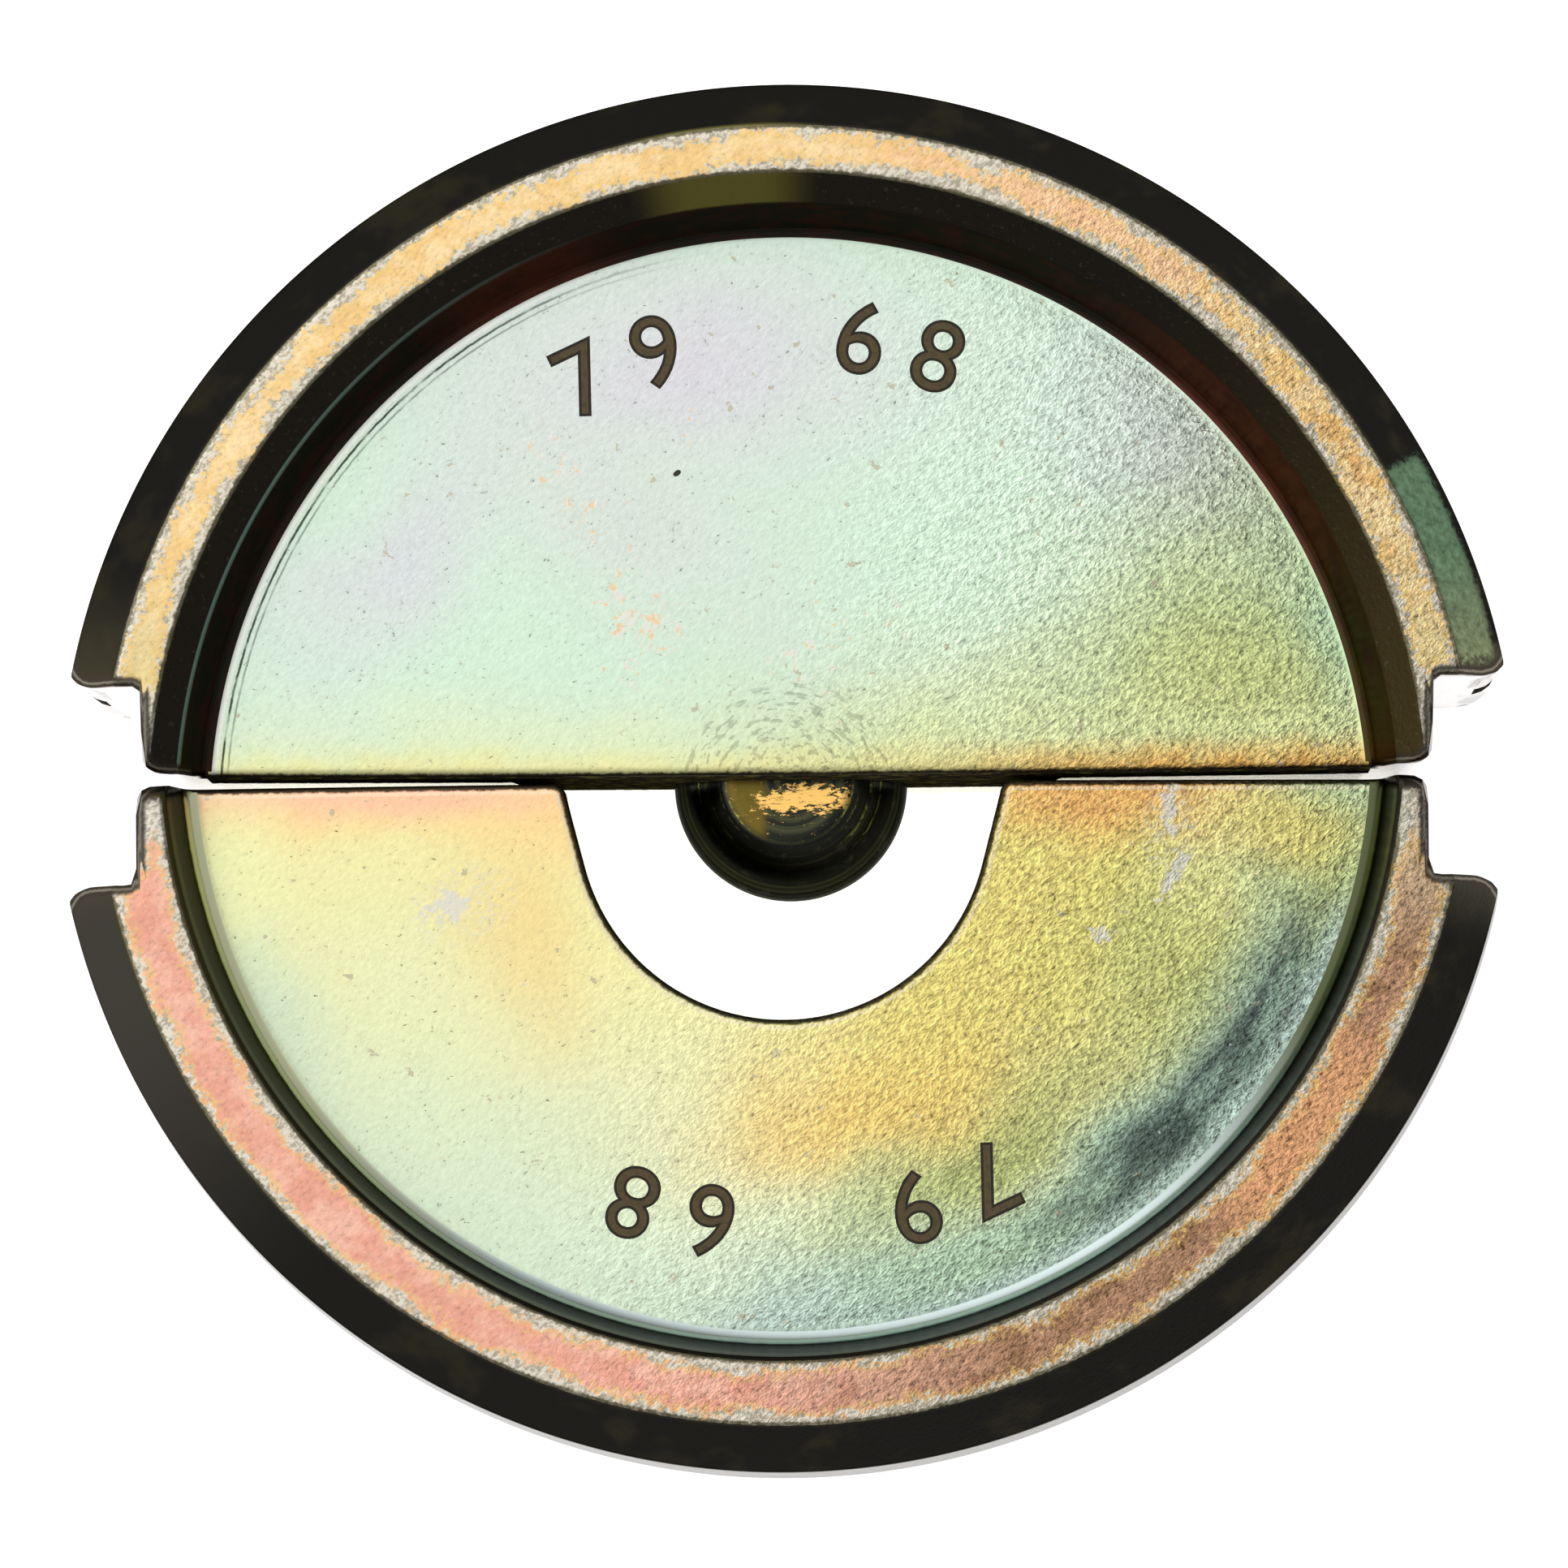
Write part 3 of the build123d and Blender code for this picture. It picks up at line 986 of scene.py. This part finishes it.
def indenter_bands(dark, skin, outer, angle, half):
    """Recess wall, mouth and chamfer of the indenter half, with their coloured films and a painted
    highlight line.
    """
    place = skin.place
    inner = 1 - outer
    mouth = ramp(skin.radius, half["mouth_inner"] - 0.03, half["mouth_inner"] + 0.05)
    wall = 1 - mouth

    # Mouth: an olive patch at the top, and brown to the right
    dark = blend(dark, colour(122, 118, 56), band(angle, 95, 9, 3) * mouth * inner * 0.8)
    dark = blend(dark, colour(74, 62, 28), ramp(angle, 60, 10) * inner * 0.6)

    # Wall: red patches, turned streaks, and a painted teal highlight line along its upper edge at
    # the left
    red = band(angle, 116, 12, 3) + band(angle, 38, 22, 6)
    dark = blend(dark, colour(96, 50, 40), red * wall * 0.7)
    turned = noise(vector(skin.radius, angle * 0.05), 5, 3, 0.7)
    dark = blend(dark, colour(66, 42, 36), wall * inner * ramp(turned, 0.45, 0.6) * 0.7)
    highlight_line = band(skin.radius, half["mouth_inner"] + 0.02, 0.06, 0.02)
    dark = blend(dark, colour(132, 158, 148), highlight_line * ramp(angle, 105, 150, 0.0, 0.85))
    speckle = ramp(noise(place.all, 6, 3, 0.7), 0.6, 0.68)
    dark = blend(dark, colour(84, 80, 60), speckle * mouth * inner * 0.5)

    # Chamfer: a green patch at the right, and both ends paler
    green_shade = blend(colour(84, 108, 84), colour(122, 122, 88), ramp(angle, 24, 4))
    green_shade = scaled(green_shade, (skin.ragged * 2.2 + 1) * 0.9)
    green = ramp(angle + skin.ragged * 2, 29.5, 28.7) * outer
    green = green * (1 - ramp(skin.radius + skin.ragged * 0.5, 18.55, 18.75))
    green = green * ramp(angle + skin.ragged * 3, 11.2, 12.8)
    dark = blend(dark, green_shade, green * 0.95)
    right_end = ramp(angle, 13.5, 12) * band(angle, 0, 60, 40) * outer
    dark = blend(dark, colour(78, 74, 62), right_end * (1 - green) * 0.6)
    return blend(dark, colour(62, 58, 44), ramp(angle, 158, 172) * outer * 0.8)


def cradle_bands(dark, skin, outer, angle, half):
    """Recess wall, mouth and chamfer of the cradle half, with a painted highlight on the root of the
    wall.
    """
    # Chamfer, paler at both ends
    dark = blend(dark, colour(54, 51, 46), ramp(angle, -130, -160) * outer)
    dark = blend(dark, colour(88, 80, 62), ramp(angle, -164, -178) * outer * 0.85)
    dark = blend(dark, colour(92, 88, 74), ramp(angle, -18, -4) * outer * 0.85)

    # Wall and mouth: olive at the left, with a thin painted highlight line between them
    olive = (1 - ramp(angle, -176, -120)) * (1 - outer)
    dark = blend(dark, colour(78, 74, 38), olive * 0.8)
    highlight_line = band(skin.radius, half["mouth_inner"] - 0.06, 0.05, 0.015)
    dark = blend(dark, colour(128, 124, 96), highlight_line * 0.5)

    # Painted highlight on the root of the wall, darker to the right
    root_end = half["floor_r"] + 0.07
    root = 1 - ramp(skin.radius + skin.ragged * 0.05, root_end - 0.05, root_end)
    root_light = blend(colour(236, 240, 196), colour(196, 210, 208), ramp(angle, -150, -110))
    root_light = blend(root_light, colour(78, 84, 58), ramp(angle, -60, -25))
    return blend(dark, root_light, root)


def seat_shade(skin, angle):
    """Ground steel of the seat, stained in places."""
    ground = noise(vector(angle * 0.03, skin.place.z), 9, 3, 0.7)
    shade = blend(STEEL, colour(178, 174, 168), ramp(ground, 0.4, 0.62))
    shade = blend(shade, colour(184, 172, 132), ramp(skin.blotch, 0.5, 0.7) * 0.6)
    return blend(shade, colour(112, 104, 86), ramp(skin.coarse, 0.62, 0.68) * 0.5)


def rim_material(half):
    """Rim: a land of worn gold or copper between dark bands, and a ground seat."""
    material, shader = new_material(half["node"] + "_rim")
    skin = Skin(half)
    radius = skin.radius
    angle = skin.place.angle(0, -half["side"] * SEAT_DROP)

    # Dark bands of the recess wall, its mouth, and the chamfer: painted dark reflection on these
    # steep faces
    dark = blend(REFLECTED_DARK, colour(44, 41, 28), ramp(skin.blotch, 0.5, 0.7) * 0.5)
    outer = ramp(radius, LAND_OUTER, LAND_OUTER + 0.15)
    dark = blend(dark, colour(46, 42, 36), 1 - outer)
    bands = indenter_bands if half["side"] > 0 else cradle_bands
    dark = bands(dark, skin, outer, angle, half)

    # Seat, and painted shadow in the groove
    chamfer_foot = HALF_RIM - CHAMFER_DEPTH
    at_back = ramp(radius, GROOVE_R - 0.3, GROOVE_R - 0.1)
    seat = ramp(skin.height, chamfer_foot, chamfer_foot - 0.15) * at_back
    dark = blend(dark, seat_shade(skin, angle), seat)
    groove_shadow = ramp(skin.height, GROOVE_HALF + 0.08, GROOVE_HALF + 0.02)
    groove_shadow = groove_shadow * ramp(radius, SEAT_R - 0.02, SEAT_R - 0.1) * at_back
    dark = blend(dark, colour(66, 60, 54), groove_shadow)

    # Land, and a painted dark outline with a painted glint in it along the rounded cut edges
    is_land = ramp(skin.height + skin.ragged * 0.06, HALF_RIM - 0.07, HALF_RIM - 0.03)
    is_land = is_land * ramp(radius, half["land_inner"] - 0.3, half["land_inner"] - 0.1)
    shade = blend(dark, land_shade(skin, half), is_land)
    outline = ramp(skin.edge + skin.ragged * 0.14, 0.32, 0.2) * ramp(skin.height, 5.3, 5.6)
    shade = blend(shade, colour(56, 51, 44), outline * 0.92)
    glint = band(skin.edge + skin.ragged * 0.1, 0.12, 0.05, 0.01) * outline
    shade = blend(shade, colour(132, 126, 112), glint * 0.6)

    bright = calc("MAXIMUM", is_land, skin.cut) * 0.55 + 0.45
    connect(vector(bright, bright, bright), shader.inputs["Specular Tint"])
    roughness = 0.24 + is_land * 0.12 - skin.cut * 0.14
    skin.finish(shader, blend(shade, skin.cut_shade(), skin.cut), roughness, is_land * 0.9 + 0.1)
    return material


# Radius, half width and strength of each turning line on the nose
TURNING_LINES = ((1.66, 0.03, 0.9), (1.84, 0.025, 0.5), (2.12, 0.05, 0.8), (2.38, 0.03, 0.7))


def nose_material():
    """Dark turned steel with painted gold highlights on the flat at the front."""
    material, shader = new_material("turned_nose")
    place = Place()
    ring = place.radius(SLIP / 2, GAP / 2)
    around = place.angle(SLIP / 2, GAP / 2)
    on_flat = ramp(ring, 1.75, 1.5)
    turned = noise(vector(ring, place.z * 0.4), 7, 3, 0.7)
    shade = blend(colour(44, 46, 40), colour(74, 76, 54), ramp(turned, 0.45, 0.62))
    # Painted olive-gold reflection at the left of the flat
    shade = blend(shade, colour(112, 96, 40), on_flat * ramp(place.x, -0.4, -0.75) * 0.9)

    # Painted gold highlights across the flat, scored through
    ragged = noise(vector(place.x, place.y * 2.2), 3.6, 5, 0.75)
    gold = place.spot((0.85, -0.4), (0.95, 0.36), -6) + place.spot((-0.2, -0.5), (0.6, 0.26))
    gold = ramp(gold + (ragged - 0.5) * 4.0, 0.5, 0.64)
    shade = blend(shade, colour(250, 200, 112), gold * on_flat)
    scored = ramp(noise(vector(place.x * 0.7, place.y * 5.0), 3.0, 4, 0.7), 0.56, 0.62)
    scored = scored * place.spot((0.1, -0.7), (1.1, 0.5))
    shade = blend(shade, colour(34, 32, 22), scored * 0.95)

    # Broken turning lines at both sides, and scuffs round the ball
    sides = band(around, -90, 25, 55)
    broken = ramp(noise(vector(around * 0.03, ring), 1.6, 4, 0.75), 0.44, 0.6)
    for radius, wide, strength in TURNING_LINES:
        line = band(ring + (ragged - 0.5) * 0.1, radius, wide, wide * 0.3)
        shade = blend(shade, colour(160, 170, 84), line * broken * sides * strength)
    scuff = ramp(noise(vector(ring * 1.6, around * 0.03), 2.4, 4, 0.75), 0.56, 0.66)
    shade = blend(shade, colour(88, 86, 74), scuff * ramp(ring, 1.5, 1.9) * 0.6)

    connect(shade, shader.inputs["Base Color"])
    connect(ramp(ring, 2.9, 2.5, 0.2, 1), shader.inputs["Metallic"])
    shader.inputs["Specular IOR Level"].default_value = 0
    shader.inputs["Specular Tint"].default_value = (0.4, 0.4, 0.4, 1)
    shader.inputs["Roughness"].default_value = 0.2
    return material


def mark_material(name, shade):
    """Dull, flecked fill of the number marks."""
    material, shader = new_material(name)
    dim = (*(part * 0.75 for part in shade[:3]), 1)
    fleck = ramp(noise(Place().all, 7, 3, 0.6), 0.35, 0.6)
    connect(blend(dim, shade, fleck), shader.inputs["Base Color"])
    shader.inputs["Metallic"].default_value = 0.5
    shader.inputs["Roughness"].default_value = 0.5
    return material


def add_camera():
    """The scene's camera, at the photograph's viewing angle."""
    data = bpy.data.cameras.new("camera")
    data.sensor_width = SENSOR_WIDTH
    data.lens = SENSOR_WIDTH * FOCAL_PER_WIDTH
    data.clip_start = 0.01
    data.clip_end = 10
    camera = bpy.data.objects.new("camera", data)
    bpy.context.scene.collection.objects.link(camera)
    backward = TOWARDS.normalized()
    right = Vector((0, 1, 0)).cross(backward).normalized()
    up = backward.cross(right)
    turn = Matrix.Rotation(-ROLL, 3, backward)
    axes = Matrix((turn @ right, turn @ up, backward)).transposed()
    camera.matrix_world = Matrix.Translation(AIM + TOWARDS) @ axes.to_4x4()
    bpy.context.scene.camera = camera


def add_table():
    """White table, which keeps a faint shadow."""
    bpy.ops.mesh.primitive_plane_add(size=TABLE_SIZE)
    floor = bpy.context.object
    floor.name = "floor"
    table, shader = new_material("white_table")
    shader.inputs["Base Color"].default_value = (TABLE_SHADE, TABLE_SHADE, TABLE_SHADE, 1)
    shader.inputs["Roughness"].default_value = 0.8
    shader.inputs["Emission Color"].default_value = (1, 1, 1, 1)
    rays = add_node("ShaderNodeLightPath")
    seen = Field(rays.outputs["Is Camera Ray"]) + Field(rays.outputs["Is Glossy Ray"])
    connect(calc("MINIMUM", seen, 1) * TABLE_GLOW, shader.inputs["Emission Strength"])
    floor.data.materials.append(table)


def add_light():
    """Soft light from the whole sky, brighter towards one side of it."""
    world = bpy.data.worlds.new("world")
    bpy.context.scene.world = world
    world.use_nodes = True
    Field.tree = world.node_tree
    direction = add_node("ShaderNodeTexCoord")
    towards = add_node("ShaderNodeVectorMath", operation="DOT_PRODUCT")
    Field.tree.links.new(direction.outputs["Generated"], towards.inputs[0])
    towards.inputs[1].default_value = BRIGHTEST_FROM.normalized()
    light = ramp(Field(towards.outputs["Value"]), 0.3, 1.05, DIMMEST_LIGHT, BRIGHTEST_LIGHT)
    background = world.node_tree.nodes["Background"]
    background.inputs["Color"].default_value = (1, 1, 1, 1)
    connect(light, background.inputs["Strength"])


mark_border = mark_material("mark_border", colour(44, 38, 26))
mark_middle = mark_material("mark_middle", colour(92, 78, 50))

for half in (INDENTER, CRADLE):
    body = build_half(half)
    show(build_marks(half, MARK_SWELL, MARK_BORDER_TOP), half["node"], [mark_border])
    show(build_marks(half, -MARK_SWELL, MARK_MIDDLE_TOP), half["node"], [mark_middle])
    store_regions(body, half)
    show(body, half["node"], [web_material(half), rim_material(half)])
show(build_nose(), INDENTER["node"], [nose_material()])

add_camera()
add_table()
add_light()
bpy.context.scene.view_settings.view_transform = "Standard"
